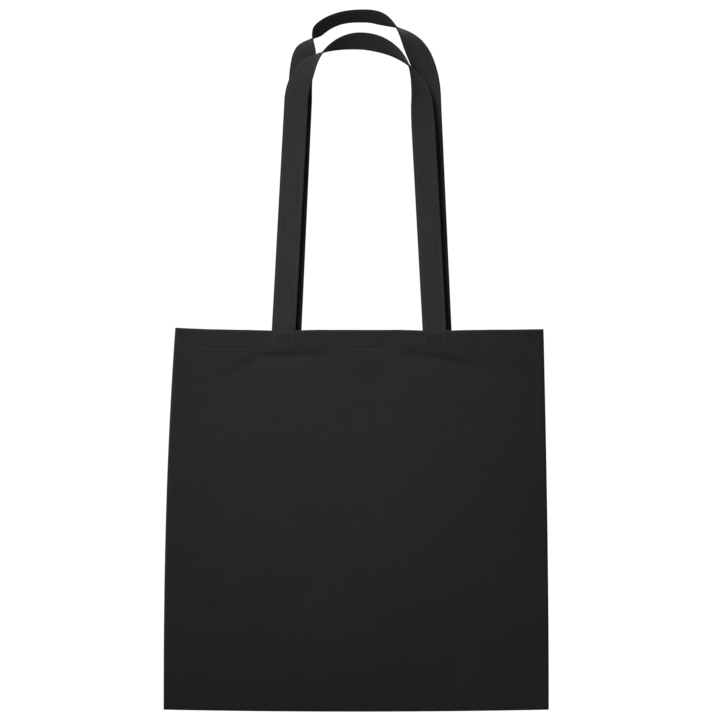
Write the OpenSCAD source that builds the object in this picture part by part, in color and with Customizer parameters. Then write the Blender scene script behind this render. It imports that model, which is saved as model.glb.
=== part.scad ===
// Canvas tote bag with two long shoulder straps, hanging upright by its straps.
// +X is the wearer's width, the front faces -Y, and the mouth opens towards +Z.
// The origin is the point where a hook or hand holds both straps, above the mouth.

/* [Bag] */
// Height of the bag from the bottom edge to the rim
body_h = 400; // [320:1:480]
// Width across the bottom corners
bottom_w = 404; // [330:1:490]
// Width across the rim
top_w = 384; // [320:1:470]
// How far the rim's middle lies to the right of the bottom's middle
rim_shift = 4; // [0:1:10]
// Depth of the open mouth, front to back, at the rim
mouth_depth = 24; // [20:1:60]
// Depth of the bag at its fullest height
belly_depth = 40; // [26:1:90]
// Height of the fullest part above the bottom edge
belly_h = 125; // [90:1:150]
// How far the bottom edge hangs lower at its middle than at its corners
bottom_bow = 2; // [0:0.5:6]

/* [Cloth] */
// Thickness of one layer of canvas
cloth_t = 0.8; // [0.5:0.1:1]
// Depth of the folded hem below the rim
hem_h = 22; // [15:1:40]
// Width of the seam allowance inside the sides and the bottom
seam_w = 9; // [6:0.5:14]
// Air between two layers that lie on each other
layer_gap = 0.06; // [0.05:0.01:0.1]

/* [Straps] */
// Width of the folded strap
strap_w = 25; // [18:1:35]
// Thickness of the folded strap
strap_t = 1.8; // [1.2:0.1:2.4]
// Length of strap sewn inside the hem
tail_h = 18; // [12:1:30]
// Distance between the middles of a strap's two legs at the rim
strap_spacing = 158; // [120:1:200]
// Distance between the legs where the front strap starts to turn over
front_shoulder_w = 132; // [90:1:160]
// Height above the rim of the front strap's highest point, at its middle
front_rise = 302; // [240:1:370]
// Distance between the legs where the back strap starts to turn over
back_shoulder_w = 136; // [90:1:160]
// How much higher the back strap's highest point hangs than the front strap's
back_extra = 28; // [22:1:50]
// Roll of the front strap about its own length at the top, in degrees
front_roll = 128; // [95:1:150]
// Roll of the back strap about its own length at the top, in degrees
back_roll = 115; // [95:1:150]

/* [Thread] */
// Thickness of the sewing thread
thread_t = 0.5; // [0.3:0.1:0.8]
// Distance of the edge stitching from the strap's edge
edge_inset = 2.5; // [1.5:0.1:5]
// Width of the overlocked thread along each raw edge
overlock_w = 4; // [2:0.5:6]

/* [Hidden] */

cloth_black = [0.13, 0.13, 0.135];
strap_black = [0.17, 0.17, 0.175];
thread_black = [0.23, 0.23, 0.24];

FRONT = -1;
BACK = 1;
LEFT = -1;
RIGHT = 1;

hang_h = body_h + front_rise - strap_w / 2;     // the hook's height above the bottom edge
seam_t = 2 * cloth_t;                           // two layers of allowance lie together
edge_half = seam_t / 2 + layer_gap + cloth_t;   // half the bag's depth where it closes

// How the outline and the depth change over the bag
lens_power = 2.5;          // how bluntly the depth falls off to the sides
belly_power = 2.2;         // how quickly it grows above the bottom edge
taper_power = 2.2;         // the sides draw in mostly near the rim
lean_power = 3;            // and lean to the right there

// Points along each solid
panel_columns = 28;
panel_rows = 24;
hem_rows = 4;
seam_steps = 24;
strap_steps = 72;
square_steps = 4;

// Small clearances
hem_side_gap = 2;          // between the turned hem and each side's allowance
corner_gap = 1;            // between the bottom's allowance and each side's
overlock_lift = 12;        // the side overlock starts this far above the bottom's allowance
overlock_rim_gap = 1;      // and ends this far below the rim
overlock_reach = 0.88;     // share of the bottom's width that its overlock covers
stitch_gap = 1;            // from a row of stitching to the edge of the layer behind it
square_rim_gap = 3;        // from the rim to the squares of stitching
fold_gap = 0.3;            // under the part of a strap that folds over

// How the two straps hang
front_shift = -1;          // sideways, from the middle of the rim
back_shift = 5;
front_crown = 67;          // height of the part that turns over
back_crown = 89;
crown_past = 3.375;        // how far a strap may reach past the middle where it turns edge-on
front_square = 2;          // how square the left shoulder is, where 2 is round
back_square = 2.8;
leg_span = 0.3;            // share of the strap's span that each leg takes
tangent_step = 0.004;      // share of the span over which its direction is taken

front_centre = rim_shift + front_shift;
back_centre = rim_shift + back_shift;
back_rise = front_rise + back_extra;
legs_reach = (strap_spacing + strap_w) / 2 + back_shift;   // outermost edge of any leg

function mix(a, b, t) = a + (b - a) * t;
function clamp01(t) = min(1, max(0, t));
function smooth(t) = let (c = clamp01(t)) c * c * (3 - 2 * c);
function unit(v) = v / norm(v);

// Outline of the bag, seen from the front: half width, sideways lean and lower edge
function half_w(z) = mix(bottom_w, top_w, pow(clamp01(z / body_h), taper_power)) / 2;
function lean(z) = rim_shift * pow(clamp01(z / body_h), lean_power);
function edge_x(side, z) = lean(z) + side * half_w(z);
function bottom_z(u) = bottom_bow * u * u;

// Half depth of the bag at a share u of the half width and a height z
function fullness(z) = z < belly_h
    ? mix(edge_half, belly_depth / 2, 1 - pow(1 - clamp01(z / belly_h), belly_power))
    : mix(belly_depth / 2, mouth_depth / 2, smooth((z - belly_h) / (body_h - belly_h)));
function half_depth(u, z) =
    edge_half + (fullness(z) - edge_half) * (1 - pow(min(1, abs(u)), lens_power));

// The straps lie flat against the inside of the turned hem, as far out as their outer edges allow
tail_y = half_depth(legs_reach / (top_w / 2), body_h) - 2 * cloth_t - 3 * layer_gap;
strap_y = tail_y - strap_t / 2;

// A point on the outer face, moved inwards by depth, at a share u of the half width and a height z
function skin(face, u, z, depth) =
    [lean(z) + u * half_w(z), face * (half_depth(u, z) - depth), z];
function share(x, z) = (x - lean(z)) / half_w(z);

// Closed solid between two grids of points that face each other, row by row
module between(a, b) {
    rows = len(a);
    columns = len(a[0]);
    count = rows * columns;
    points = concat([for (row = a, p = row) p], [for (row = b, p = row) p]);
    faces = concat(
        [for (i = [0:rows - 2], j = [0:columns - 2])
            let (p = i * columns + j) each [[p, p + columns, p + 1],
                                            [p + 1, p + columns, p + columns + 1]]],
        [for (i = [0:rows - 2], j = [0:columns - 2])
            let (p = count + i * columns + j) each [[p, p + 1, p + columns],
                                                    [p + 1, p + columns + 1, p + columns]]],
        [for (i = [0:rows - 2], p = [i * columns])
            each [[p, count + p, count + p + columns], [p, count + p + columns, p + columns]]],
        [for (i = [0:rows - 2], p = [i * columns + columns - 1])
            each [[p, p + columns, count + p + columns], [p, count + p + columns, count + p]]],
        [for (j = [0:columns - 2])
            each [[j, j + 1, count + j + 1], [j, count + j + 1, count + j]]],
        [for (j = [0:columns - 2], p = [(rows - 1) * columns + j])
            each [[p, count + p, count + p + 1], [p, count + p + 1, p + 1]]]
    );
    polyhedron(points = points, faces = faces, convexity = 6);
}

// Two grids swap places on the back, so that the solid's faces still point outwards
module layer(face, outer, inner) {
    if (face == FRONT) between(outer, inner);
    else between(inner, outer);
}

// Everything is drawn with the bottom edge at z = 0 and hung from the origin here
module hung() {
    translate([0, 0, -hang_h]) children();
}

module panel(face) {
    function height(u, v) = mix(bottom_z(u), body_h, v);
    function grid(depth) = [for (i = [0:panel_rows]) [for (j = [0:panel_columns])
        let (u = mix(-1, 1, j / panel_columns), z = height(u, i / panel_rows))
            skin(face, u, z, depth)]];
    color(cloth_black) hung() layer(face, grid(0), grid(cloth_t));
}

// The top of the cloth, turned in once behind the panel
module hem(face) {
    reach = 1 - (seam_w + hem_side_gap) / (top_w / 2);
    function grid(depth) = [for (i = [0:hem_rows]) [for (j = [0:panel_columns])
        let (u = reach * mix(-1, 1, j / panel_columns), z = body_h - hem_h * (1 - i / hem_rows))
            skin(face, u, z, depth)]];
    depth = cloth_t + layer_gap * 2;
    color(cloth_black) hung() layer(face, grid(depth), grid(depth + cloth_t));
}

// The two layers of allowance that lie inside a side of the bag
module side_seam(side) {
    low = seam_w + bottom_bow + corner_gap;
    function grid(y) = [for (i = [0:seam_steps])
        let (z = mix(low, body_h, i / seam_steps), x = edge_x(side, z),
             a = side == LEFT ? x : x - seam_w, b = side == LEFT ? x + seam_w : x)
            [[a, y, z], [b, y, z]]];
    color(cloth_black) hung() between(grid(-seam_t / 2), grid(seam_t / 2));
}

module bottom_seam() {
    function grid(y) = [for (i = [0:1]) [for (j = [0:seam_steps])
        let (u = mix(-1, 1, j / seam_steps), z = bottom_z(u) + seam_w * i)
            [lean(z) + u * half_w(z), y, z]]];
    color(cloth_black) hung() between(grid(-seam_t / 2), grid(seam_t / 2));
}

// Overlock thread wraps each raw edge of an allowance, one strip on each face
module side_overlock(side) {
    low = seam_w + bottom_bow + overlock_lift;
    function grid(y) = [for (i = [0:seam_steps])
        let (z = mix(low, body_h - overlock_rim_gap, i / seam_steps), x = edge_x(side, z) - side * seam_w,
             a = side == LEFT ? x - overlock_w : x, b = side == LEFT ? x : x + overlock_w)
            [[a, y, z], [b, y, z]]];
    color(thread_black) hung() for (face = [FRONT, BACK]) {
        near = face * (seam_t / 2 + layer_gap);
        far = near + face * thread_t / 2;
        between(grid(min(near, far)), grid(max(near, far)));
    }
}

module bottom_overlock() {
    function grid(y) = [for (i = [0:1]) [for (j = [0:seam_steps])
        let (u = overlock_reach * mix(-1, 1, j / seam_steps),
             z = bottom_z(u) + seam_w - overlock_w * (1 - i))
            [lean(z) + u * half_w(z), y, z]]];
    color(thread_black) hung() for (face = [FRONT, BACK]) {
        near = face * (seam_t / 2 + layer_gap);
        far = near + face * thread_t / 2;
        between(grid(min(near, far)), grid(max(near, far)));
    }
}

// A line of thread on the outer face, from one x and z to another
module thread_line(face, start, end, steps) {
    along = unit(end - start);
    across = [-along[1], along[0]] * thread_t / 2;
    function edge(p, depth) = skin(face, share(p[0], p[1]), p[1], depth);
    function grid(depth) = [for (i = [0:1]) [for (j = [0:steps])
        let (p = mix(start, end, j / steps) + across * (i == 0 ? -1 : 1)) edge(p, depth)]];
    layer(face, grid(-layer_gap - thread_t), grid(-layer_gap));
}

// Runs round the bag at the lower edge of the hem, in front and behind
module hem_stitching(face) {
    z = body_h - hem_h + stitch_gap;
    inset = seam_w / 2;
    color(thread_black) hung()
        thread_line(face, [edge_x(LEFT, z) + inset, z], [edge_x(RIGHT, z) - inset, z], panel_columns);
}

// A strap's route: two straight legs and a rounded top, over a span from 0 to 1
function arc_share(span) = clamp01((span - leg_span) / (1 - 2 * leg_span));
function leg_share(span) = clamp01(min(span, 1 - span) / leg_span);
function strap_place(span, centre, shoulder_w, shoulder_h, rise, square) =
    let (left = span < 0.5,
         side = left ? LEFT : RIGHT,
         foot = centre + side * strap_spacing / 2,
         turn = 180 * (1 - arc_share(span)),
         power = left ? 2 / square : 1,
         u = pow(abs(cos(turn)), power),
         h = pow(sin(turn), power))
    min(span, 1 - span) <= leg_span
        ? [mix(foot, centre + side * shoulder_w / 2, leg_share(span)), shoulder_h * leg_share(span)]
        : [centre + side * shoulder_w / 2 * u, shoulder_h + (rise - shoulder_h) * h];

// Each route is [centre, shoulder width, shoulder height, rise, squareness of the left shoulder]
front_route = [front_centre, front_shoulder_w, front_rise - front_crown, front_rise, front_square];
back_route = [back_centre, back_shoulder_w, back_rise - back_crown, back_rise, back_square];

// The upper edge leans forward at the top, and this roll falls to none over these shares of the span
front_twist = [[0, 0.195], [0.025, 0.23]];
back_twist = [[0.084, 0.075], [0.025, 0.122]];

function on_route(route, span) =
    strap_place(span, route[0], route[1], route[2], route[3], route[4]);
function roll_at(span, roll, twist) =
    let (away = abs(span - 0.5), side = span < 0.5 ? twist[0] : twist[1])
    roll * (1 - smooth((away - side[0]) / side[1]));

// A leaning strap's foot dips at one corner, so it starts that much higher above the rim
function foot_gap(route) = fold_gap + strap_w * abs(strap_spacing - route[1]) / 4 / route[2];

// Middle of the strap at a share of its span
function strap_middle(face, route, span) =
    let (p = on_route(route, span),
         y = mix(strap_y, max(strap_y, strap_w / 2 - crown_past), p[1] / route[3]))
    [p[0], face * y, body_h + foot_gap(route) + p[1]];
function strap_along(face, route, span) =
    unit(strap_middle(face, route, min(1, span + tangent_step))
         - strap_middle(face, route, max(0, span - tangent_step)));
function strap_across(face, route, span, angle) =
    let (t = strap_along(face, route, span), flat = cross([0, 1, 0], t))
    flat * cos(angle) - [0, 1, 0] * sin(angle);

// Rows of points along the strap, at a list of distances across it and at one distance through it
function strap_row(face, route, span, angle, offsets, through) =
    let (m = strap_middle(face, route, span),
         w = strap_across(face, route, span, angle),
         n = cross(strap_along(face, route, span), w))
    [for (across = offsets) m + w * across + n * through];
function strap_grid(face, route, roll, twist, offsets, through) =
    [for (i = [0:strap_steps])
        let (span = i / strap_steps, angle = roll_at(span, roll, twist))
            strap_row(face, route, span, angle, offsets, through)];

module strap_band(face, route, roll, twist, offsets, low, high) {
    between(strap_grid(face, route, roll, twist, offsets, high),
            strap_grid(face, route, roll, twist, offsets, low));
}

// The strap has points under both edges of each row of stitching, so that the thread lies on it
stitch_inner = strap_w / 2 - edge_inset - thread_t / 2;
stitch_outer = strap_w / 2 - edge_inset + thread_t / 2;
strap_offsets = [-strap_w / 2, -stitch_outer, -stitch_inner, 0,
                 stitch_inner, stitch_outer, strap_w / 2];

module handle(face, route, roll, twist) {
    color(strap_black) hung()
        strap_band(face, route, roll, twist, strap_offsets, -strap_t / 2, strap_t / 2);
}

// Two rows of stitching along the strap's edges, on its outer face
module handle_stitching(face, route, roll, twist) {
    near = face * (strap_t / 2 + layer_gap);
    far = near + face * thread_t / 2;
    color(thread_black) hung()
        for (offsets = [[-stitch_outer, -stitch_inner], [stitch_inner, stitch_outer]])
            strap_band(face, route, roll, twist, offsets, min(near, far), max(near, far));
}

// The end of a strap, sewn flat behind the turned hem
module tail(face, centre, side) {
    x = centre + side * strap_spacing / 2;
    low = min(face * tail_y, face * (tail_y - strap_t));
    color(strap_black) hung()
        translate([x - strap_w / 2, low, body_h - tail_h]) cube([strap_w, strap_t, tail_h]);
}

// A square of stitching through the panel, the hem and the strap's end
module box_stitch(face, centre, side) {
    x = centre + side * strap_spacing / 2;
    half = strap_w / 2 - edge_inset;
    top = body_h - square_rim_gap;
    low = body_h - tail_h + stitch_gap;
    color(thread_black) hung() {
        for (z = [low, top])
            thread_line(face, [x - half, z], [x + half, z], square_steps);
        for (edge = [-half, half])
            thread_line(face, [x + edge, low + thread_t], [x + edge, top - thread_t], square_steps);
    }
}

panel(FRONT);  // front_panel
panel(BACK);  // back_panel
hem(FRONT);  // front_hem
hem(BACK);  // back_hem
side_seam(LEFT);  // left_seam
side_seam(RIGHT);  // right_seam
bottom_seam();
side_overlock(LEFT);  // left_overlock
side_overlock(RIGHT);  // right_overlock
bottom_overlock();
hem_stitching(FRONT);  // front_hem_stitching
hem_stitching(BACK);  // back_hem_stitching
handle(FRONT, front_route, front_roll, front_twist);  // front_handle
handle(BACK, back_route, back_roll, back_twist);  // back_handle
handle_stitching(FRONT, front_route, front_roll, front_twist);  // front_handle_stitching
handle_stitching(BACK, back_route, back_roll, back_twist);  // back_handle_stitching
tail(FRONT, front_centre, LEFT);  // front_left_tail
tail(FRONT, front_centre, RIGHT);  // front_right_tail
tail(BACK, back_centre, LEFT);  // back_left_tail
tail(BACK, back_centre, RIGHT);  // back_right_tail
box_stitch(FRONT, front_centre, LEFT);  // front_left_box_stitch
box_stitch(FRONT, front_centre, RIGHT);  // front_right_box_stitch
box_stitch(BACK, back_centre, LEFT);  // back_left_box_stitch
box_stitch(BACK, back_centre, RIGHT);  // back_right_box_stitch
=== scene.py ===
"""Black canvas tote bag: cloth panels, turned hem, seams, folded straps and every row of stitching."""

import math

import bmesh
import bpy
import numpy as np
from mathutils import Matrix, Vector


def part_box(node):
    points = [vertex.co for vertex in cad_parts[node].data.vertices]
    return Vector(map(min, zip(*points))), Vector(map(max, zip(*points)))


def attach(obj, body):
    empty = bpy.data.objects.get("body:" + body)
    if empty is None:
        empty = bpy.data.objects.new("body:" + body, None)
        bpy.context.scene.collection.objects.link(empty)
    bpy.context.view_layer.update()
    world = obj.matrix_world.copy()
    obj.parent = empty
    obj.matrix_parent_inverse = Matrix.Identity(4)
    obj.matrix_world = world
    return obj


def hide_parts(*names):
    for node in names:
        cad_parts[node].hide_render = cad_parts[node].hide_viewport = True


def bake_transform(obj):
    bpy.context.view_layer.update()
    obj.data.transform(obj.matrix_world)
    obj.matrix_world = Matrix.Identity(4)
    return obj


bl_info = {
    "name": "Canvas tote bag",
    "version": (1, 0, 0),
    "blender": (4, 5, 0),
    "location": "View3D > Sidebar > Tote bag",
    "description": "Builds a black canvas tote bag with sewn straps, seams and stitching",
    "category": "Add Mesh",
}

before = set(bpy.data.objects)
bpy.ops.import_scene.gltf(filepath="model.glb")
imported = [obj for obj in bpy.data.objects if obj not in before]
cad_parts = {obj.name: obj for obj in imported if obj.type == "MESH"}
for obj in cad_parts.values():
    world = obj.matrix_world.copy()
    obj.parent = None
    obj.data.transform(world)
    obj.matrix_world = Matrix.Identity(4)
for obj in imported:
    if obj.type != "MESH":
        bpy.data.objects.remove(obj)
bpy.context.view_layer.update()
MM = 0.001

# Sizes of the plain solids that no box in the frame gives
SOLID_CLOTH = 0.8 * MM    # one layer of cloth
SEAM_W = 9 * MM           # width of a seam allowance
HEM_SIDE_GAP = 2 * MM     # between the end of a hem and the allowance beside it

# Places and sizes read from the frame
PANEL_LOW, PANEL_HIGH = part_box("front_panel")
HEM_LOW, HEM_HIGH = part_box("front_hem")
SEAM_LOW, SEAM_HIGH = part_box("bottom_seam")
BOTTOM_Z = PANEL_LOW.z
RIM_Z = PANEL_HIGH.z
BODY_H = RIM_Z - BOTTOM_Z
HEM_H = HEM_HIGH.z - HEM_LOW.z
BOTTOM_HALF = PANEL_HIGH.x
RIM_SHIFT = (HEM_LOW.x + HEM_HIGH.x) / 2
RIM_HALF = (HEM_HIGH.x - HEM_LOW.x) / 2 + SEAM_W + HEM_SIDE_GAP
BELLY_HALF = -PANEL_LOW.y
MOUTH_HALF = -HEM_LOW.y + SOLID_CLOTH
SEAM_T = SEAM_HIGH.y - SEAM_LOW.y
EDGE_HALF = SEAM_T / 2 + SOLID_CLOTH

# How the bag's outline and depth change from its bottom to its rim
BELLY_H = 125 * MM        # height of the fullest part
BOTTOM_BOW = 2 * MM       # rise of the lower edge at its two ends
LENS_POWER = 2.5          # how flat the bag is across its middle
BELLY_POWER = 2.2         # how soon it fills out above the bottom
TAPER_POWER = 2.2         # how late it narrows towards the rim
LEAN_POWER = 3            # how late the rim's sideways shift sets in
EDGE_ROUND = 2.4 * MM     # reach of the rounding along each edge
EDGE_REST = 0.004         # squared share of the depth that is left on an edge
SEAM_EDGE_GAP = 1.4 * MM  # from a seam's fold to its allowance
HEM_FOLD = 0.9 * MM       # radius of the fold at the rim
HEM_LIMIT = 0.9           # share of the way to the bag's middle that a turned hem may reach
EXTRA_ROWS = 8            # rows of faces that a panel has beyond its length in cells
COLUMN_POWER = 1.12       # how the columns of faces crowd towards a panel's sides

# The hem's stitching, and what its thread does to the cloth
STITCH_UP = 1.5 * MM      # height of the row above the hem's lower edge
STITCH_WANDER = 0.25 * MM
GATHER_REACH = 5 * MM
GATHER_DEPTH = 0.075 * MM
GROOVE_REACH = 1.1 * MM
GROOVE_DEPTH = 0.38 * MM

# What shows through the cloth from behind
STRAP_RIDGE = 0.7 * MM
RIDGE_PAST = 2.5 * MM     # how far the ridge reaches past a strap's sides
ALLOWANCE_RIDGE = 0.42 * MM
DETAIL_REACH = 30 * MM    # folds grow to their full depth over this distance from an edge
RIM_LIFT_REACH = 90 * MM  # the rim's rise and dips fade out over this distance below it

FRONT = -1
BACK = 1
LEFT = -1
RIGHT = 1
FACE_NAME = {FRONT: "front", BACK: "back"}
SIDE_NAME = {LEFT: "left", RIGHT: "right"}


# ---------------------------------------------------------------- settings


class ToteSizes(bpy.types.PropertyGroup):
    cloth: bpy.props.FloatProperty(
        name="Cloth thickness", description="Thickness of one layer of canvas",
        default=0.7 * MM, min=0.3 * MM, max=1.2 * MM, unit="LENGTH", precision=5)
    stitch_pitch: bpy.props.FloatProperty(
        name="Stitch length", description="Distance from one stitch to the next",
        default=3.1 * MM, min=1.5 * MM, max=6 * MM, unit="LENGTH", precision=5)
    thread: bpy.props.FloatProperty(
        name="Thread", description="Thickness of the sewing thread",
        default=0.55 * MM, min=0.2 * MM, max=1 * MM, unit="LENGTH", precision=5)
    edge_inset: bpy.props.FloatProperty(
        name="Edge stitching", description="Distance of the strap's stitching from its edge",
        default=2.5 * MM, min=1 * MM, max=6 * MM, unit="LENGTH", precision=5)
    cell: bpy.props.FloatProperty(
        name="Cloth cell", description="Size of one face of the cloth meshes",
        default=2.6 * MM, min=1.5 * MM, max=12 * MM, unit="LENGTH", precision=5)
    overlock_pitch: bpy.props.FloatProperty(
        name="Overlock pitch", description="Distance between the loops over a raw edge",
        default=2.4 * MM, min=1 * MM, max=5 * MM, unit="LENGTH", precision=5)


class ToteColours(bpy.types.PropertyGroup):
    canvas: bpy.props.FloatVectorProperty(
        name="Canvas", description="Colour of the bag's cloth", subtype="COLOR",
        size=3, default=(0.0118, 0.0118, 0.0122), min=0, max=1)
    strap: bpy.props.FloatVectorProperty(
        name="Strap", description="Colour of the straps' cloth", subtype="COLOR",
        size=3, default=(0.0178, 0.0178, 0.0184), min=0, max=1)
    thread: bpy.props.FloatVectorProperty(
        name="Thread", description="Colour of the sewing thread", subtype="COLOR",
        size=3, default=(0.0135, 0.0135, 0.014), min=0, max=1)


# ---------------------------------------------------------------- shape of the bag


def smooth(t):
    t = np.clip(t, 0, 1)
    return t * t * (3 - 2 * t)


def height_share(z):
    return np.clip((z - BOTTOM_Z) / BODY_H, 0, 1)


def half_width(z):
    return BOTTOM_HALF + (RIM_HALF - BOTTOM_HALF) * height_share(z) ** TAPER_POWER


def middle_x(z):
    return RIM_SHIFT * height_share(z) ** LEAN_POWER


def lower_edge(u):
    return BOTTOM_Z + BOTTOM_BOW * u * u


def fullness(z):
    h = z - BOTTOM_Z
    below = EDGE_HALF + (BELLY_HALF - EDGE_HALF) * (1 - (1 - np.clip(h / BELLY_H, 0, 1)) ** BELLY_POWER)
    above = BELLY_HALF + (MOUTH_HALF - BELLY_HALF) * smooth((h - BELLY_H) / (BODY_H - BELLY_H))
    return np.where(h < BELLY_H, below, above)


def rolled_edge(distance):
    """From 0 on an edge to 1 where the cloth has rounded away from it."""
    return np.sqrt(np.clip(1 - (1 - np.clip(distance / EDGE_ROUND, 0, 1)) ** 2, EDGE_REST, 1))


def along_path(x, z, path):
    """Signed distance above a chain of points, and a share that fades over its first and last quarter."""
    best = np.full(np.shape(x), math.inf)
    signed = np.zeros(np.shape(x))
    fade = np.zeros(np.shape(x))
    lengths = [math.dist(a, b) for a, b in zip(path, path[1:])]
    total = sum(lengths)
    done = 0.0
    for (ax, az), (bx, bz), length in zip(path, path[1:], lengths):
        dx, dz = (bx - ax) / length, (bz - az) / length
        t = np.clip((x - ax) * dx + (z - az) * dz, 0, length)
        away = np.hypot(x - ax - t * dx, z - az - t * dz)
        above = dx * (z - az) - dz * (x - ax)
        nearer = away < best
        signed = np.where(nearer, np.where(above < 0, -away, away), signed)
        share = (done + t) / total
        fade = np.where(nearer, smooth(4 * share) * smooth(4 * (1 - share)), fade)
        best = np.minimum(best, away)
        done += length
    return signed, fade


# A crease is its points from left to right, in mm from the bag's middle line and from the rim's
# height, and then its depth and its width above and below its line, in mm
FRONT_CREASES = [
    ([(-112, -27), (-98, -24.5), (-84, -26), (-55, -24.5), (-16, -26)], 1.6, 2, 6),
    ([(-118, -31), (-100, -25), (-84, -26), (-55, -25), (-16, -26)], 1.6, 5, 12),
    ([(-148, -56), (-128, -42), (-110, -33), (-96, -25)], 1.5, 4, 7),
    ([(40, -23.5), (62, -24), (88, -28.5), (118, -36), (146, -45)], 1.7, 2, 7),
    ([(36, -23), (62, -24), (88, -29), (118, -36), (146, -46), (176, -60)], 2.2, 6, 16),
    ([(96, -24), (130, -28), (166, -40), (190, -60)], 1.4, 6, 9),
    ([(10, -30), (28, -58), (50, -96), (56, -120)], 1.3, 16, 20),
    ([(-188, -304), (-136, -293), (-106, -283), (-64, -276), (-20, -262)], 1.1, 9, 14),
    ([(100, -396), (103, -360), (108, -310)], 0.9, 9, 14),
    ([(-60, -30), (-20, -44), (6, -72)], 0.7, 12, 16),
    ([(60, -318), (96, -300), (130, -270)], 0.7, 12, 18),
]
BACK_CREASES = [
    ([(-158, -50), (-118, -34), (-84, -26), (-50, -24)], 2.4, 5, 10),
    ([(38, -24), (74, -26), (110, -30), (150, -44)], 2.6, 5, 10),
    ([(-20, -50), (6, -110), (14, -170)], 1.1, 16, 22),
    ([(60, -300), (110, -282), (176, -268)], 1.0, 9, 14),
    ([(-120, -396), (-116, -352), (-104, -310)], 0.8, 9, 14),
]
CREASES = {FRONT: FRONT_CREASES, BACK: BACK_CREASES}


def creases(face, x, z):
    total = np.zeros(np.shape(x))
    for points, depth, above, below in CREASES[face]:
        path = [(px * MM, RIM_Z + pz * MM) for px, pz in points]
        signed, fade = along_path(x, z, path)
        width = np.where(signed > 0, above, below) * MM
        total -= depth * MM * fade * np.exp(-((signed / width) ** 2))
    return total


# A wave is its height in mm, its radians per metre along x and along z, and its start in radians
SWELLS = [(0.75, 9, 4, 0.3), (0.5, -13, 11, 1.9), (0.28, 29, -17, 4.2), (0.16, 47, 38, 0.8),
          (0.09, -83, 61, 2.6)]
HEM_WAVES = [(0.2, 71, 190, 0.4), (0.15, -133, 120, 2.9), (0.1, 241, -260, 1.7), (0.07, 397, 340, 5.1)]


def crossing_waves(waves, x, z, shift):
    return sum(h * MM * np.sin(a * x + b * z + start + shift) for h, a, b, start in waves)


def undulation(face, x, z):
    """Slow swells of limp cloth, different on the two faces."""
    return crossing_waves(SWELLS, x, z, 0.0 if face == FRONT else 2.1)


def pucker(face, x, z):
    """Small gathers along the hem's stitching, and the groove that the thread lies in."""
    above_row = z - stitch_line_z(x)
    near = np.exp(-((above_row / GATHER_REACH) ** 2))
    gathers = np.sin(x * 520 + face) + 0.8 * np.sin(x * 337 + 1.3) + 0.6 * np.sin(x * 811 + 2.2)
    groove = np.exp(-((above_row / GROOVE_REACH) ** 2))
    return near * gathers * GATHER_DEPTH - groove * GROOVE_DEPTH


def stitch_line_z(x):
    return RIM_Z - HEM_H + STITCH_UP + STITCH_WANDER * np.sin(x * 37 + 0.6)


def hem_ripple(face, x, z):
    """The turned hem is a little uneven, so its face rises and falls along the rim."""
    within = smooth((z - RIM_Z + HEM_H) / (5 * MM)) * smooth((RIM_Z - z) / (3 * MM))
    return within * crossing_waves(HEM_WAVES, x, z, face)


def strap_ridge(face, x, z):
    """The hem stands out where a strap's end lies behind it."""
    total = np.zeros(np.shape(x))
    for side in (LEFT, RIGHT):
        low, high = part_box(f"{FACE_NAME[face]}_{SIDE_NAME[side]}_tail")
        from_left, from_right = x - low.x + RIDGE_PAST, high.x + RIDGE_PAST - x
        wide = smooth(from_left / (4 * MM)) * smooth(from_right / (4 * MM))
        tall = smooth((z - low.z + 3 * MM) / (5 * MM))
        total += STRAP_RIDGE * wide * tall
    return total


def allowance_ridge(u, z):
    """The seam allowance shows through the cloth as a faint step beside each edge."""
    edge = (1 - np.abs(u)) * half_width(z)
    step = smooth((SEAM_W - edge) / (2.2 * MM))
    low_step = smooth((SEAM_W - 3 * MM - (z - lower_edge(u))) / (2 * MM))
    return ALLOWANCE_RIDGE * np.maximum(step, low_step)


def half_depth(face, u, z):
    x = middle_x(z) + u * half_width(z)
    from_side = (1 - np.abs(u)) * half_width(z)
    from_foot = z - lower_edge(u)
    lens = EDGE_HALF + (fullness(z) - EDGE_HALF) * (1 - np.abs(u) ** LENS_POWER)
    folds = creases(face, x, z) + undulation(face, x, z) + pucker(face, x, z) + hem_ripple(face, x, z)
    free = smooth(from_side / DETAIL_REACH) * smooth(from_foot / DETAIL_REACH)
    details = folds * free + strap_ridge(face, x, z) + allowance_ridge(u, z)
    return (lens + details) * rolled_edge(from_side) * rolled_edge(from_foot)


def rim_lift(u):
    """How much the rim stands higher at its corners and dips where the straps are sewn."""
    left_corner = 2.4 * np.clip((-u - 0.55) / 0.45, 0, 1) ** 2
    right_corner = 0.9 * np.clip((u - 0.5) / 0.5, 0, 1) ** 2
    dips = 0.9 * sum(np.exp(-(((u - foot) / 0.12) ** 2)) for foot in (-0.42, 0.41))
    return (left_corner + right_corner - dips) * MM


def surface(face, u, z):
    """Points on the outer face of the cloth at shares u of the half width and heights z."""
    u, z = np.broadcast_arrays(np.asarray(u, float), np.asarray(z, float))
    held = np.minimum(z, RIM_Z)
    x = middle_x(held) + u * half_width(held)
    y = face * half_depth(face, u, held)
    lift = rim_lift(u) * smooth((z - RIM_Z + RIM_LIFT_REACH) / RIM_LIFT_REACH)
    return np.stack([x, y, z + lift], -1)


def outward(face, u, z):
    """Unit normals of the outer face."""
    du, dz = 0.002, 0.5 * MM
    across = surface(face, u + du, z) - surface(face, u - du, z)
    up = surface(face, u, np.minimum(z + dz, RIM_Z)) - surface(face, u, z - dz)
    n = np.cross(across, up) * -face
    return n / np.linalg.norm(n, axis=-1, keepdims=True)


def share_across(x, z):
    return (x - middle_x(z)) / half_width(z)


def on_cloth(face, x, z, lift):
    """Points at a distance lift outside the cloth, at sideways places x and heights z."""
    u = share_across(x, z)
    return surface(face, u, z) + outward(face, u, z) * lift


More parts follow.
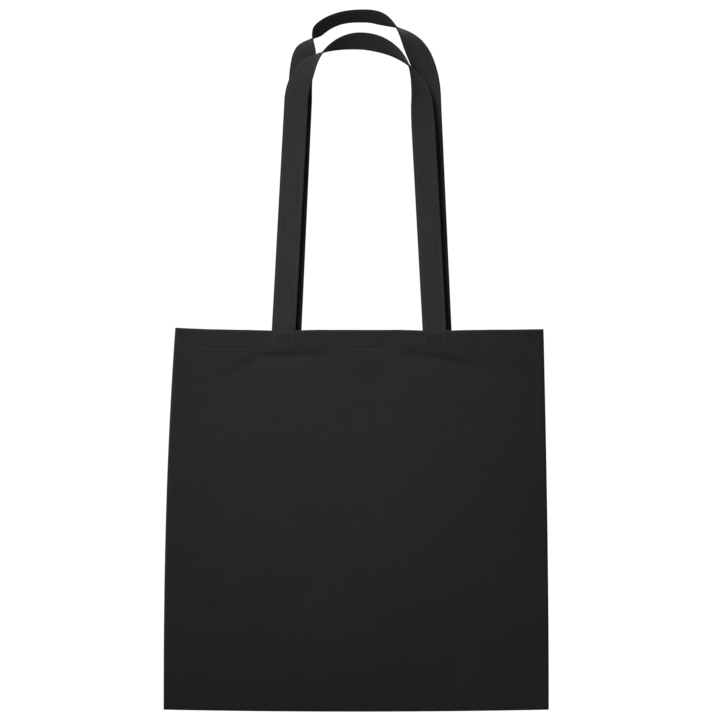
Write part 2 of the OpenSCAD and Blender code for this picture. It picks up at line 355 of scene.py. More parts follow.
# ---------------------------------------------------------------- mesh helpers


def sizes():
    return bpy.context.scene.tote_sizes


def colours():
    return bpy.context.scene.tote_colours


def shaped_grid(columns, rows, place, uv_size):
    """A unit grid whose vertices are moved by place(s, t), with a UV map in metres."""
    bm = bmesh.new()
    bmesh.ops.create_grid(bm, x_segments=columns, y_segments=rows, size=0.5,
                          matrix=Matrix.Translation((0.5, 0.5, 0)))
    layer = bm.loops.layers.uv.new("cloth")
    for face in bm.faces:
        for loop in face.loops:
            loop[layer].uv = (loop.vert.co.x * uv_size[0], loop.vert.co.y * uv_size[1])
    st = np.array([v.co[:2] for v in bm.verts])
    for vert, point in zip(bm.verts, place(st[:, 0], st[:, 1])):
        vert.co = point
    return bm


def finish_mesh(bm, name, material):
    mesh = bpy.data.meshes.new(name)
    for face in bm.faces:
        face.smooth = True
    bm.to_mesh(mesh)
    bm.free()
    piece = bpy.data.objects.new(name, mesh)
    bpy.context.scene.collection.objects.link(piece)
    mesh.materials.append(material)
    return piece


def thicken(piece, thickness):
    wall = piece.modifiers.new("cloth thickness", "SOLIDIFY")
    wall.thickness = thickness
    wall.offset = 0
    wall.use_even_offset = False


def frame_matrix(place, along, normal, size):
    """A matrix that lays a unit shape at place, with its length along along and its top facing normal."""
    along = Vector(along).normalized()
    normal = Vector(normal)
    normal = (normal - along * normal.dot(along)).normalized()
    across = normal.cross(along)
    turn = Matrix((along, across, normal)).transposed().to_4x4()
    return Matrix.Translation(Vector(place)) @ turn @ Matrix.Diagonal((*size, 1))


BEAD_FLATTENED = 0.42     # half height of a pulled-down bead, as a share of the thread


def stitch(start, end, normal, thickness):
    """Where one stitch lies: a plump bead of thread from start to end."""
    start, end = Vector(start), Vector(end)
    size = ((end - start).length / 2, thickness / 2, thickness * BEAD_FLATTENED)
    return frame_matrix((start + end) / 2, end - start, normal, size)


def stitch_row(points, normals, thickness, gap=0.22):
    """A row of stitches between neighbouring points, with a small gap where the needle went in."""
    spans = zip(points[:-1], points[1:], normals)
    return [stitch(a + (b - a) * gap / 2, b - (b - a) * gap / 2, n, thickness) for a, b, n in spans]


def sewn(places):
    """One bead of thread for each of places: a bead is doubled until there are enough, then laid out."""
    bm = bmesh.new()
    bmesh.ops.create_uvsphere(bm, u_segments=6, v_segments=5, radius=1,
                              matrix=Matrix.Rotation(math.pi / 2, 4, "Y"))
    plain = bpy.data.meshes.new("bead")
    bm.to_mesh(plain)
    bm.clear()
    bm.from_mesh(plain)
    bpy.data.meshes.remove(plain)
    bead = [v.co.copy() for v in bm.verts]
    while len(bm.verts) < len(places) * len(bead):
        bmesh.ops.duplicate(bm, geom=bm.verts[:] + bm.edges[:] + bm.faces[:])
    bmesh.ops.delete(bm, geom=bm.verts[len(places) * len(bead):], context="VERTS")
    spots = (place @ corner for place in places for corner in bead)
    for vert, spot in zip(bm.verts, spots):
        vert.co = spot
    return bm


def sew(places, name, node):
    """Threads that ride on the bag and stand for one node of the plain solids."""
    rows = finish_mesh(sewn(places), name, materials()["thread"])
    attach(rows, "bag")
    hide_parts(node)


# ---------------------------------------------------------------- materials


def socket(group, name, kind, default=None, direction="INPUT"):
    made = group.interface.new_socket(name=name, in_out=direction, socket_type=kind)
    if default is not None:
        made.default_value = default


class Nodes:
    """Short calls for making and joining shader nodes."""

    def __init__(self, tree):
        self.tree = tree

    def make(self, kind, inputs=(), **settings):
        node = self.tree.nodes.new(kind)
        for key, value in settings.items():
            setattr(node, key, value)
        for key, value in dict(inputs).items():
            self.feed(value, node.inputs[key])
        return node

    def feed(self, value, target):
        if isinstance(value, bpy.types.NodeSocket):
            self.tree.links.new(value, target)
        else:
            target.default_value = value

    def math(self, operation, a, b=0.0, c=0.0, clamp=False):
        node = self.make("ShaderNodeMath", {0: a, 1: b, 2: c}, operation=operation, use_clamp=clamp)
        return node.outputs[0]

    def mix(self, share, a, b):
        node = self.make("ShaderNodeMix", {0: share, 2: a, 3: b}, data_type="FLOAT")
        return node.outputs[0]

    def noise(self, vector, scale, detail=2.0, rough=0.5):
        node = self.make("ShaderNodeTexNoise", {"Vector": vector, "Scale": scale, "Detail": detail,
                                                "Roughness": rough})
        return node.outputs["Fac"]


def new_group(name, inputs, outputs):
    group = bpy.data.node_groups.new(name, "ShaderNodeTree")
    for label, kind, default in inputs:
        socket(group, label, kind, default)
    for label, kind in outputs:
        socket(group, label, kind, direction="OUTPUT")
    nodes = Nodes(group)
    return nodes, nodes.make("NodeGroupInput"), nodes.make("NodeGroupOutput")


# Scales of the cloth's patterns, in cells per metre
YARN_WANDER_SCALE = 90.0
SLUB_SCALE = 620.0
SLUB_SQUEEZE = 0.06       # scale of a slub along its yarn, as a share of its scale across it
BROAD_DYE_SCALE = 14.0
FINE_DYE_SCALE = 160.0
LINT_SCALE = 55.0
NAP_SCALE = 1400.0
TWIST_SCALE = 900.0
LINT_SPECK = 0.032        # size of a speck, as a share of the space between specks
LINT_COLOUR = (0.04, 0.04, 0.04, 1)
SHEEN_TINT = (0.6, 0.6, 0.62, 1)
WEAVE_PITCH = 0.62 * MM


def plain_weave():
    """Height and shade of a plain weave, warp over weft over warp, on a map in metres."""
    nodes, given, result = new_group(
        "plain weave",
        [("Map", "NodeSocketVector", None), ("Pitch", "NodeSocketFloat", 0.0008),
         ("Slub", "NodeSocketFloat", 0.25)],
        [("Height", "NodeSocketFloat"), ("Thread", "NodeSocketFloat")])
    parts = nodes.make("ShaderNodeSeparateXYZ", {0: given.outputs["Map"]}).outputs
    wander = nodes.noise(given.outputs["Map"], YARN_WANDER_SCALE, 1.0)
    drift = nodes.math("MULTIPLY", nodes.math("SUBTRACT", wander, 0.5), given.outputs["Slub"])
    ridges = []
    for axis in (0, 1):
        turns = nodes.math("DIVIDE", parts[axis], given.outputs["Pitch"])
        angle = nodes.math("MULTIPLY", nodes.math("ADD", turns, drift), math.pi)
        ridges.append(nodes.math("SINE", angle))
    over = nodes.math("MULTIPLY_ADD", nodes.math("MULTIPLY", *ridges), 1.5, 0.5, clamp=True)
    warp, weft = (nodes.math("ABSOLUTE", r) for r in ridges)
    height = nodes.mix(over, weft, warp)
    slubs = []
    for squeeze in ((1.0, SLUB_SQUEEZE, 1.0), (SLUB_SQUEEZE, 1.0, 1.0)):
        squeezed = nodes.make("ShaderNodeVectorMath", {0: given.outputs["Map"], 1: squeeze},
                              operation="MULTIPLY")
        slubs.append(nodes.noise(squeezed.outputs[0], SLUB_SCALE, 1.0))
    warp_slub, weft_slub = slubs
    thread = nodes.mix(over, weft_slub, warp_slub)
    nodes.feed(height, result.inputs["Height"])
    nodes.feed(thread, result.inputs["Thread"])
    return nodes.tree


def cloth_wear():
    """Slow changes of shade over dyed cloth, and a few pale specks of lint."""
    nodes, given, result = new_group(
        "cloth wear",
        [("Place", "NodeSocketVector", None), ("Lint", "NodeSocketFloat", 0.5)],
        [("Shade", "NodeSocketFloat"), ("Lint", "NodeSocketFloat"), ("Nap", "NodeSocketFloat")])
    broad = nodes.noise(given.outputs["Place"], BROAD_DYE_SCALE, 3.0)
    fine = nodes.noise(given.outputs["Place"], FINE_DYE_SCALE, 3.0, 0.65)
    shade = nodes.math("ADD", nodes.math("MULTIPLY", broad, 0.45), nodes.math("MULTIPLY", fine, 0.55))
    cells = nodes.make("ShaderNodeTexVoronoi", {"Vector": given.outputs["Place"], "Scale": LINT_SCALE})
    speck = nodes.math("LESS_THAN", cells.outputs["Distance"], LINT_SPECK)
    chance = nodes.make("ShaderNodeSeparateXYZ", {0: cells.outputs["Color"]}).outputs[0]
    rare = nodes.math("LESS_THAN", chance, nodes.math("MULTIPLY", given.outputs["Lint"], 0.3))
    nodes.feed(shade, result.inputs["Shade"])
    nodes.feed(nodes.math("MULTIPLY", speck, rare), result.inputs["Lint"])
    nodes.feed(nodes.noise(given.outputs["Place"], NAP_SCALE, 2.0, 0.7), result.inputs["Nap"])
    return nodes.tree


def new_material(name):
    material = bpy.data.materials.new(name)
    material.use_nodes = True
    return material, Nodes(material.node_tree), material.node_tree.nodes["Principled BSDF"]


def cloth_material(name, colour, weave, wear, slub, bump, lint, sheen, contrast):
    """Matt woven cotton: weave, slubs, nap, uneven dye and lint, with painted shade where the weave lies
    low.
    """
    material, nodes, shader = new_material(name)
    here = nodes.make("ShaderNodeTexCoord").outputs
    woven = nodes.make("ShaderNodeGroup", node_tree=weave)
    nodes.feed(here["UV"], woven.inputs["Map"])
    woven.inputs["Pitch"].default_value = WEAVE_PITCH
    woven.inputs["Slub"].default_value = slub
    worn = nodes.make("ShaderNodeGroup", node_tree=wear)
    nodes.feed(here["Object"], worn.inputs["Place"])
    worn.inputs["Lint"].default_value = lint
    shade = nodes.math("MULTIPLY_ADD", worn.outputs["Shade"], 0.5 * contrast, 1 - 0.25 * contrast)
    slubs = nodes.math("MULTIPLY_ADD", woven.outputs["Thread"], 0.9 * contrast, 1 - 0.45 * contrast)
    # Painted shade: the colour is darker where the weave lies low, between the yarns.
    painted_gap_shade = nodes.math("MULTIPLY_ADD", woven.outputs["Height"], 0.4 * contrast, 1 - 0.25 * contrast)
    tone = nodes.math("MULTIPLY", nodes.math("MULTIPLY", shade, slubs), painted_gap_shade)
    dyed = nodes.make("ShaderNodeVectorMath", {0: (*colour,), "Scale": tone}, operation="SCALE")
    fluff = nodes.make("ShaderNodeMix", {0: worn.outputs["Lint"], 6: dyed.outputs[0], 7: LINT_COLOUR},
                       data_type="RGBA")
    nodes.feed(fluff.outputs[2], shader.inputs["Base Color"])
    rough = nodes.math("MULTIPLY_ADD", woven.outputs["Thread"], 0.2, 0.78, clamp=True)
    nodes.feed(rough, shader.inputs["Roughness"])
    relief = nodes.math("MULTIPLY_ADD", worn.outputs["Nap"], 0.35, woven.outputs["Height"])
    bumps = nodes.make("ShaderNodeBump", {"Strength": 1.0, "Distance": bump, "Height": relief})
    nodes.feed(bumps.outputs[0], shader.inputs["Normal"])
    shader.inputs["Specular IOR Level"].default_value = 0.18
    shader.inputs["Sheen Weight"].default_value = sheen
    shader.inputs["Sheen Roughness"].default_value = 0.55
    shader.inputs["Sheen Tint"].default_value = SHEEN_TINT
    return material


def thread_material(name, colour):
    """Spun cotton thread: fine twist lines and a soft gloss."""
    material, nodes, shader = new_material(name)
    here = nodes.make("ShaderNodeTexCoord").outputs["Object"]
    twist = nodes.make("ShaderNodeTexWave", {"Vector": here, "Scale": TWIST_SCALE, "Distortion": 1.5},
                       wave_type="BANDS", bands_direction="DIAGONAL").outputs["Fac"]
    tone = nodes.math("MULTIPLY_ADD", twist, 0.5, 0.75)
    dyed = nodes.make("ShaderNodeVectorMath", {0: (*colour,), "Scale": tone}, operation="SCALE")
    nodes.feed(dyed.outputs[0], shader.inputs["Base Color"])
    bumps = nodes.make("ShaderNodeBump", {"Strength": 0.6, "Distance": 0.05 * MM, "Height": twist})
    nodes.feed(bumps.outputs[0], shader.inputs["Normal"])
    shader.inputs["Roughness"].default_value = 0.55
    shader.inputs["Specular IOR Level"].default_value = 0.4
    shader.inputs["Sheen Weight"].default_value = 0.2
    return material


def materials():
    """The three finishes, made on first use."""
    found = {m.name: m for m in bpy.data.materials}
    if "black canvas" not in found:
        weave, wear = plain_weave(), cloth_wear()
        canvas = cloth_material("black canvas", colours().canvas, weave, wear,
                                slub=0.5, bump=0.16 * MM, lint=0.35, sheen=0.1, contrast=0.9)
        strap = cloth_material("black strap cloth", colours().strap, weave, wear,
                               slub=0.5, bump=0.2 * MM, lint=0.25, sheen=0.12, contrast=1.0)
        thread = thread_material("black thread", colours().thread)
        return {"canvas": canvas, "strap_cloth": strap, "thread": thread}
    return {"canvas": found["black canvas"], "strap_cloth": found["black strap cloth"],
            "thread": found["black thread"]}


# ---------------------------------------------------------------- straps


# Each strap: width between the shoulders, their drop below the top, how square the left one is, the
# roll at the top in degrees, and for the left and right halves the share of the span from the middle
# where the strap starts to unroll, and the share that it takes
STRAP_SHAPE = {
    FRONT: (132 * MM, 67 * MM, 2.0, 128, ((0, 0.195), (0.025, 0.23))),
    BACK: (136 * MM, 89 * MM, 2.8, 115, ((0.084, 0.075), (0.025, 0.122))),
}
CROWN_PAST = 3.375 * MM   # how far a strap's inner edge may reach past the middle of the bag at its top
ROLLED_THICKNESS = 0.35   # share of the thickness that the rolled top adds to the strap's height
LEG_SPAN = 0.3            # share of the span that each straight leg takes
SPAN_LENGTH = 0.75        # metres that a whole span stands for where the strap runs behind the hem
TAIL_SHORT = 0.5 * MM     # how much the strap's end stops short of the solid's

# A strap's folded section
FOLD_POWER = 14           # how square the folds are
CHANNEL_REACH = 0.9 * MM
CHANNEL_DEPTH = 0.2 * MM
SECTION_SWELL = 0.12 * MM
SURFACE_ROOM = 0.1 * MM   # between the cloth's face and the solid's, and from the cloth to a thread
SECTION_STEPS = 36
SECTION_POWER = 0.75      # how the steps gather at the folds
STRAP_CELL = 1.3          # length of a strap's faces, as a share of the cloth cell
STRAP_WAVE = 0.8 * MM     # size of the bends in a limp strap
WAVE_FADE = 14            # the bends fade out over one part in this many of the span, at each foot
ROW_ENDS = (0.004, 0.996) # shares at which a row of stitches along an edge starts and ends


class StrapRoute:
    """Where a strap runs: two legs up from the hem and a rounded, rolled top."""

    def __init__(self, face):
        self.face = face
        tails = [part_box(f"{FACE_NAME[face]}_{name}_tail") for name in ("left", "right")]
        centres = [(low.x + high.x) / 2 for low, high in tails]
        low, high = tails[0]
        self.centre = sum(centres) / 2
        self.spacing = centres[1] - centres[0]
        self.width = high.x - low.x
        self.thickness = high.y - low.y
        self.y = (low.y + high.y) / 2
        self.tail = high.z - low.z
        self.shoulder_w, drop, self.square, roll, self.twist = STRAP_SHAPE[face]
        self.roll = math.radians(roll)
        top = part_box(f"{FACE_NAME[face]}_handle")[1].z
        self.rise = top - RIM_Z - self.width / 2 * abs(math.cos(self.roll))
        self.rise -= self.thickness * ROLLED_THICKNESS
        self.shoulder_h = self.rise - drop

    def at(self, span):
        """Sideways place and height above the rim, at shares 0 to 1 between the two feet."""
        side = np.where(span < 0.5, -1.0, 1.0)
        leg = np.clip(np.where(span < 0.5, span, 1 - span) / LEG_SPAN, 0, 1)
        foot = self.centre + side * self.spacing / 2
        leg_x = foot + (self.centre + side * self.shoulder_w / 2 - foot) * leg
        turn = math.pi * (1 - np.clip((span - LEG_SPAN) / (1 - 2 * LEG_SPAN), 0, 1))
        power = np.where(span < 0.5, 2 / self.square, 1.0)
        arc_x = self.centre + side * self.shoulder_w / 2 * np.abs(np.cos(turn)) ** power
        arc_h = self.shoulder_h + (self.rise - self.shoulder_h) * np.abs(np.sin(turn)) ** power
        on_leg = (span <= LEG_SPAN) | (span >= 1 - LEG_SPAN)
        return np.where(on_leg, leg_x, arc_x), np.where(on_leg, self.shoulder_h * leg, arc_h)

    def middle(self, span):
        """Points on the strap's middle line; below 0 and above 1 it runs down behind the hem."""
        inside = np.clip(span, 0, 1)
        x, h = self.at(inside)
        buried = np.where(span < 0, -span, np.where(span > 1, span - 1, 0.0))
        z = RIM_Z + h - buried * SPAN_LENGTH
        top_y = self.face * (self.width / 2 - CROWN_PAST)
        y = self.y + (top_y - self.y) * h / self.rise
        return np.stack([x, y, z], -1)

    def tail_share(self):
        return (self.tail - TAIL_SHORT) / SPAN_LENGTH

    def roll_at(self, span):
        away = np.abs(span - 0.5)
        left, right = self.twist
        start = np.where(span < 0.5, left[0], right[0])
        run = np.where(span < 0.5, left[1], right[1])
        return self.roll * (1 - smooth((away - start) / run))

    def axes(self, span):
        """Unit vectors along the strap, across its width and out of its face."""
        step = 0.003
        along = self.middle(span + step) - self.middle(span - step)
        along /= np.linalg.norm(along, axis=-1, keepdims=True)
        y = np.array([0.0, 1.0, 0.0])
        flat = np.cross(y, along)
        flat /= np.linalg.norm(flat, axis=-1, keepdims=True)
        roll = self.roll_at(span)[:, None]
        across = flat * np.cos(roll) - y * np.sin(roll)
        return along, across, np.cross(along, across)

    def evenly(self, pitch, start, end):
        """Shares at equal steps along the strap's real length."""
        fine = np.linspace(start, end, 1200)
        points = self.middle(fine)
        run = np.concatenate([[0], np.cumsum(np.linalg.norm(np.diff(points, axis=0), axis=1))])
        count = max(2, int(run[-1] / pitch) + 1)
        return np.interp(np.linspace(0, run[-1], count), run, fine), run[-1]


def strap_section(across, route):
    """Half thickness over the strap's width: rounded folds, and channels where it is stitched."""
    half = route.width / 2
    edge = np.clip(1 - np.abs(across) ** FOLD_POWER, 0, 1) ** 0.5
    from_row = (half - np.abs(across) * half - sizes().edge_inset) / CHANNEL_REACH
    channel = CHANNEL_DEPTH * np.exp(-(from_row ** 2))
    swell = SECTION_SWELL * (1 - across ** 2)
    return (route.thickness / 2 - SURFACE_ROOM - channel + swell) * edge


def strap_waves(route, span, across):
    """A limp strap is never quite straight: small bends through its face."""
    inside = np.clip(span, 0, 1)
    live = smooth(inside * WAVE_FADE) * smooth((1 - inside) * WAVE_FADE)
    bend = 0.5 * np.sin(span * 31 + route.face) + 0.3 * np.sin(span * 67 + 2 * across)
    cup = 0.35 * (across ** 2 - 0.4) * np.sin(span * 23 + 1.1)
    return (bend + cup) * STRAP_WAVE * live


def strap_surface(route, span, across, lift):
    """Points at a share of the span and of the half width, lifted off the middle layer."""
    along, wide, out = route.axes(span)
    offset = (lift + strap_waves(route, span, across))[:, None]
    return route.middle(span) + wide * (across * route.width / 2)[:, None] + out * offset


def build_strap(face):
    route = StrapRoute(face)
    tail = route.tail_share()
    shares, length = route.evenly(sizes().cell * STRAP_CELL, -tail, 1 + tail)

    def place(s, t):
        span = np.interp(t, np.linspace(0, 1, len(shares)), shares)
        turn = s * 2 * math.pi
        across = np.sign(np.cos(turn)) * np.abs(np.cos(turn)) ** SECTION_POWER
        side = np.where(np.sin(turn) >= 0, 1.0, -1.0)
        return strap_surface(route, span, across, side * strap_section(across, route))

    bm = shaped_grid(SECTION_STEPS, len(shares) - 1, place, (2 * route.width, length))
    bmesh.ops.remove_doubles(bm, verts=bm.verts, dist=0.01 * MM)
    bmesh.ops.holes_fill(bm, edges=[e for e in bm.edges if e.is_boundary], sides=0)
    bmesh.ops.recalc_face_normals(bm, faces=bm.faces)
    name = FACE_NAME[face]
    strap = finish_mesh(bm, f"{name}_strap_cloth", materials()["strap_cloth"])
    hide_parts(f"{name}_handle", f"{name}_left_tail", f"{name}_right_tail")
    bend_at_rim(strap)
    return route


def bend_at_rim(piece):
    """Bakes the piece's placement into its mesh."""
    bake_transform(piece)


def build_strap_stitching(route):
    name = FACE_NAME[route.face]
    shares, _ = route.evenly(sizes().stitch_pitch, *ROW_ENDS)
    places = []
    for edge in (LEFT, RIGHT):
        for side in (FRONT, BACK):
            across = np.full(len(shares), edge * (1 - 2 * sizes().edge_inset / route.width))
            lift = side * (strap_section(across, route) + SURFACE_ROOM)
            points = strap_surface(route, shares, across, lift)
            places += stitch_row(points, route.axes(shares)[2] * side, sizes().thread)
    rows = finish_mesh(sewn(places), f"{name}_strap_stitching", materials()["thread"])
    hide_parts(f"{name}_handle_stitching")
    bend_at_rim(rows)


# ---------------------------------------------------------------- bag cloth


def build_panel(face):
    """One cut of canvas: up the outside, over the rim and down behind it as the turned hem."""
    name = FACE_NAME[face]
    arc = math.pi * HEM_FOLD
    length = BODY_H + arc + HEM_H
    rows = int(length / sizes().cell) + EXTRA_ROWS
    columns = int(2 * BOTTOM_HALF / sizes().cell)

    def place(s, t):
        u = 2 * s - 1
        u = np.sign(u) * (1 - (1 - np.abs(u)) ** COLUMN_POWER)
        run = t * length
        low = lower_edge(u)
        z = low + (RIM_Z - low) * np.clip(run / BODY_H, 0, 1)
        turn = np.clip((run - BODY_H) / arc, 0, 1) * math.pi
        down = np.clip(run - BODY_H - arc, 0, HEM_H)
        z = np.where(run > BODY_H + arc, RIM_Z - down, z)
        behind = HEM_FOLD * (1 - np.cos(turn))
        behind = np.minimum(behind, HEM_LIMIT * half_depth(face, u, np.minimum(z, RIM_Z)))
        points = surface(face, u, z) - outward(face, u, z) * behind[:, None]
        points[:, 2] += HEM_FOLD * np.sin(turn)
        return points

    bm = shaped_grid(columns, rows, place, (2 * BOTTOM_HALF, length))
    if face == FRONT:
        bmesh.ops.reverse_faces(bm, faces=bm.faces)
    cloth = finish_mesh(bm, f"{name}_panel_cloth", materials()["canvas"])
    thicken(cloth, sizes().cloth)
    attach(cloth, "bag")
    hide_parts(f"{name}_panel", f"{name}_hem")


INSIDE_ROW = 1.35 * MM    # where the hem's inner row lies, past a layer and a half of cloth


def build_hem_stitching(face):
    z0 = float(stitch_line_z(np.array(0.0)))
    ends = [middle_x(z0) + side * (half_width(z0) - SEAM_W / 2) for side in (LEFT, RIGHT)]
    count = int((ends[1] - ends[0]) / sizes().stitch_pitch)
    x = np.linspace(ends[0], ends[1], count + 1)
    z = stitch_line_z(x)
    normals = outward(face, share_across(x, z), z)
    outside = on_cloth(face, x, z, sizes().cloth / 2 + 0.12 * MM)
    inside = on_cloth(face, x, z, -sizes().cloth * 1.5 - INSIDE_ROW)
    places = stitch_row(outside, normals, sizes().thread) + stitch_row(inside, -normals, sizes().thread)
    sew(places, f"{FACE_NAME[face]}_hem_stitches", f"{FACE_NAME[face]}_hem_stitching")


def build_box_stitch(face, side):
    """A square of stitching that holds a strap's end, seen on the hem and, inside, on the strap."""
    name = f"{FACE_NAME[face]}_{SIDE_NAME[side]}"
    low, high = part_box(f"{name}_box_stitch")
    tail_low, tail_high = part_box(f"{name}_tail")
    corners = [(low.x, high.z), (high.x, high.z), (high.x, low.z), (low.x, low.z), (low.x, high.z)]
    places = []
    for (ax, az), (bx, bz) in zip(corners, corners[1:]):
        count = max(2, int(math.hypot(bx - ax, bz - az) / sizes().stitch_pitch))
        x = np.linspace(ax, bx, count + 1)
        z = np.linspace(az, bz, count + 1)
        outside = on_cloth(face, x, z, sizes().cloth / 2 + SURFACE_ROOM)
        places += stitch_row(outside, outward(face, share_across(x, z), z), sizes().thread)
        inner = tail_low.y if face == BACK else tail_high.y
        inside = np.stack([x, np.full_like(x, inner + face * -0.12 * MM), z], -1)
        places += stitch_row(inside, np.tile([0.0, -face, 0.0], (len(x), 1)), sizes().thread)
    sew(places, f"{name}_box_stitches", f"{name}_box_stitch")


STRIP_COLUMNS = 6
STRIP_CELL = 3 * MM
STRIP_SHARE = 0.9         # thickness of a seam strip, as a share of the solid's
LOOP_DEPTH = 0.44         # how much of the allowance's width the overlock's loops cover


def seam_strip(name, place, length, node):
    """Two layers of allowance pressed together inside a seam."""
    bm = shaped_grid(STRIP_COLUMNS, int(length / STRIP_CELL), place, (SEAM_W, length))
    strip = finish_mesh(bm, name, materials()["canvas"])
    thicken(strip, SEAM_T * STRIP_SHARE)
    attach(strip, "bag")
    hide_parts(node)


def overlock(name, place, length, node):
    """Slanted loops of thread over the raw edge, and the chain that runs along it."""
    places = []
    count = int(length / sizes().overlock_pitch)
    t = np.linspace(*ROW_ENDS, count + 1)
    outer = place(np.full_like(t, 1.0), t)
    inner = place(np.full_like(t, 1 - LOOP_DEPTH), np.clip(t + 0.5 / count, 0, 1))
    for side in (FRONT, BACK):
        offset = np.array([0, side * (SEAM_T * STRIP_SHARE / 2 + 0.2 * MM), 0])
        normals = np.tile([0.0, side, 0.0], (len(t), 1))
        loops = zip(outer + offset, inner + offset, normals)
        places += [stitch(a, b, n, sizes().thread) for a, b, n in loops]
        places += stitch_row(inner + offset, normals, sizes().thread, gap=0.05)
    upright = np.tile([0.0, 1.0, 0.0], (len(t), 1))
    places += stitch_row(outer, upright, sizes().thread * 1.4, gap=0.0)
    sew(places, name, node)


def build_side_seam(side):
    name = SIDE_NAME[side]
    foot = BOTTOM_Z + SEAM_W + BOTTOM_BOW + 1 * MM
    length = RIM_Z - foot - 1.2 * MM

    def place(s, t):
        z = foot + t * length
        inwards = SEAM_EDGE_GAP + s * (SEAM_W - SEAM_EDGE_GAP)
        x = middle_x(z) + side * (half_width(z) - inwards)
        y = 0.5 * MM * s * np.sin(z * 71 + side) + 0.3 * MM * s * np.sin(z * 190)
        return np.stack([x, y, z], -1)

    seam_strip(f"{name}_seam_allowance", place, length, f"{name}_seam")
    overlock(f"{name}_seam_overlock", place, length, f"{name}_overlock")


def build_bottom_seam():
    length = 2 * BOTTOM_HALF - 8 * MM

    def place(s, t):
        u = (2 * t - 1) * length / (2 * BOTTOM_HALF)
        z = lower_edge(u) + SEAM_EDGE_GAP + s * (SEAM_W - SEAM_EDGE_GAP)
        y = 0.5 * MM * s * np.sin(u * 17)
        return np.stack([middle_x(z) + u * BOTTOM_HALF, y, z], -1)

    seam_strip("bottom_seam_allowance", place, length, "bottom_seam")
    overlock("bottom_seam_overlock", place, length, "bottom_overlock")


# ---------------------------------------------------------------- operators


# The camera looks straight at the front of the bag
CAMERA_DISTANCE = 2.8
VIEW_WIDTH = 756 * MM
VIEW_CENTRE = Vector((4 * MM, 0, BOTTOM_Z + 369 * MM))
LIT_POINT = Vector((0, 0, RIM_Z - 60 * MM))
# Each lamp: its name, its place, its size in metres, its power in watts and its spread in degrees
LAMPS = [
    ("key light", (-0.35, -0.9, 0.3), 0.5, 3.0, 68),
    ("top light", (0.3, 0.3, 1.3), 1.0, 1.0, 180),
    ("right fill", (2.0, -1.2, 0.2), 1.5, 0.7, 180),
    ("back light", (0.5, 1.7, 1.0), 1.5, 28, 180),
]
WALL_LIGHT = 0.15         # what the white surroundings throw on the bag
WALL_SEEN = 1.05          # how bright they look behind it
FLOOR_DROP = 350 * MM     # from the bag's bottom to the floor
FLOOR_HALF = 1.3


class TOTE_OT_stage(bpy.types.Operator):
    """Floor, soft lights, white surroundings and the camera"""

    bl_idname = "tote.stage"
    bl_label = "Stage"

    def execute(self, context):
        scene = context.scene
        scene.view_settings.view_transform = "Standard"
        camera = bpy.data.cameras.new("camera")
        camera.sensor_width = 36
        camera.lens = camera.sensor_width * CAMERA_DISTANCE / VIEW_WIDTH
        camera_object = bpy.data.objects.new("camera", camera)
        camera_object.location = VIEW_CENTRE - Vector((0, CAMERA_DISTANCE, 0))
        camera_object.rotation_euler = (math.radians(90), 0, 0)
        scene.collection.objects.link(camera_object)
        scene.camera = camera_object
        self.lights(scene)
        self.floor(scene)
        return {"FINISHED"}

    def lights(self, scene):
        for name, place, size, power, spread in LAMPS:
            lamp = bpy.data.lights.new(name, "AREA")
            lamp.size = size
            lamp.energy = power
            lamp.spread = math.radians(spread)
            lamp_object = bpy.data.objects.new(name, lamp)
            lamp_object.location = place
            aim = (LIT_POINT - Vector(place)).to_track_quat("-Z", "Y")
            lamp_object.rotation_euler = aim.to_euler()
            scene.collection.objects.link(lamp_object)
        world = bpy.data.worlds.new("white room")
        world.use_nodes = True
        nodes = Nodes(world.node_tree)
        lit = world.node_tree.nodes["Background"]
        lit.inputs["Color"].default_value = (1, 1, 1, 1)
        lit.inputs["Strength"].default_value = WALL_LIGHT
        seen = nodes.make("ShaderNodeBackground", {"Color": (1, 1, 1, 1), "Strength": WALL_SEEN})
        rays = nodes.make("ShaderNodeLightPath").outputs["Is Camera Ray"]
        both = nodes.make("ShaderNodeMixShader", {0: rays, 1: lit.outputs[0], 2: seen.outputs[0]})
        nodes.feed(both.outputs[0], world.node_tree.nodes["World Output"].inputs["Surface"])
        scene.world = world

    def floor(self, scene):
        bm = bmesh.new()
        bmesh.ops.create_grid(bm, x_segments=1, y_segments=1, size=FLOOR_HALF,
                              matrix=Matrix.Translation((0, 0, BOTTOM_Z - FLOOR_DROP)))
        mesh = bpy.data.meshes.new("floor")
        bm.to_mesh(mesh)
        bm.free()
        floor = bpy.data.objects.new("floor", mesh)
        scene.collection.objects.link(floor)
        paint, _, shader = new_material("pale floor")
        shader.inputs["Base Color"].default_value = (0.8, 0.8, 0.8, 1)
        shader.inputs["Roughness"].default_value = 0.9
        mesh.materials.append(paint)


class TOTE_OT_straps(bpy.types.Operator):
    """Both folded straps, with their ends in the hem and their edge stitching"""

    bl_idname = "tote.straps"
    bl_label = "Straps"

    def execute(self, context):
        for face in (FRONT, BACK):
            build_strap_stitching(build_strap(face))
        return {"FINISHED"}


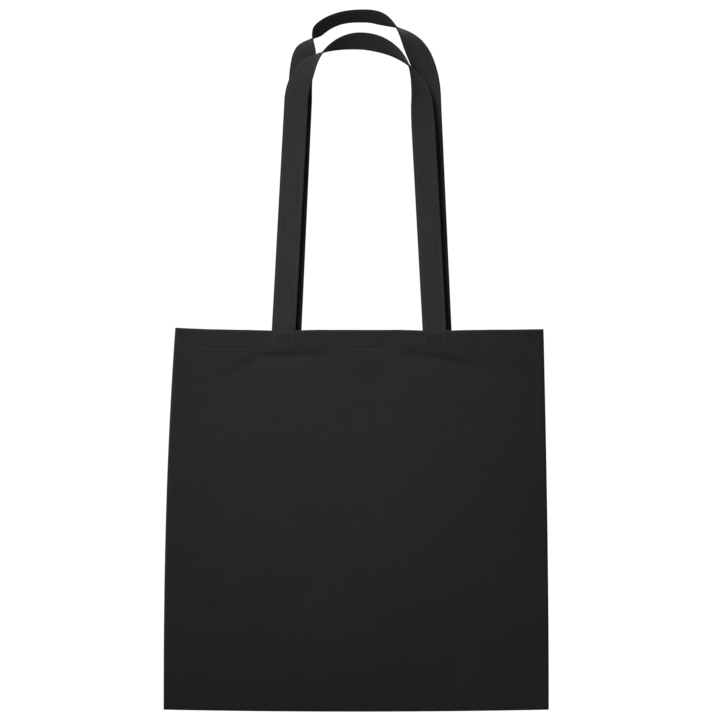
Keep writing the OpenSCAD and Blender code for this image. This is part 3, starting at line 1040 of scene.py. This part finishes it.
class TOTE_OT_panels(bpy.types.Operator):
    """Front and back panels with their turned hems"""

    bl_idname = "tote.panels"
    bl_label = "Panels"

    def execute(self, context):
        for face in (FRONT, BACK):
            build_panel(face)
        return {"FINISHED"}


class TOTE_OT_seams(bpy.types.Operator):
    """Seam allowances of the sides and the bottom, with overlocked edges"""

    bl_idname = "tote.seams"
    bl_label = "Seams"

    def execute(self, context):
        for side in (LEFT, RIGHT):
            build_side_seam(side)
        build_bottom_seam()
        return {"FINISHED"}


class TOTE_OT_stitching(bpy.types.Operator):
    """Stitching of the hem and of the strap ends"""

    bl_idname = "tote.stitching"
    bl_label = "Stitching"

    def execute(self, context):
        for face in (FRONT, BACK):
            build_hem_stitching(face)
            for side in (LEFT, RIGHT):
                build_box_stitch(face, side)
        return {"FINISHED"}


OPERATORS = (TOTE_OT_stage, TOTE_OT_straps, TOTE_OT_panels, TOTE_OT_seams, TOTE_OT_stitching)


class TOTE_PT_panel(bpy.types.Panel):
    bl_label = "Canvas tote bag"
    bl_idname = "TOTE_PT_panel"
    bl_space_type = "VIEW_3D"
    bl_region_type = "UI"
    bl_category = "Tote bag"

    def draw(self, context):
        column = self.layout.column()
        for settings in (context.scene.tote_sizes, context.scene.tote_colours):
            for key in settings.__annotations__:
                column.prop(settings, key)
        for operator in OPERATORS:
            column.operator(operator.bl_idname)


CLASSES = (ToteSizes, ToteColours, *OPERATORS, TOTE_PT_panel)


def register():
    for cls in CLASSES:
        bpy.utils.register_class(cls)
    bpy.types.Scene.tote_sizes = bpy.props.PointerProperty(type=ToteSizes)
    bpy.types.Scene.tote_colours = bpy.props.PointerProperty(type=ToteColours)


def unregister():
    del bpy.types.Scene.tote_colours
    del bpy.types.Scene.tote_sizes
    for cls in reversed(CLASSES):
        bpy.utils.unregister_class(cls)


def main():
    register()
    bpy.ops.tote.stage()
    bpy.ops.tote.straps()
    bpy.ops.tote.panels()
    bpy.ops.tote.seams()
    bpy.ops.tote.stitching()


if __name__ == "__main__":
    main()
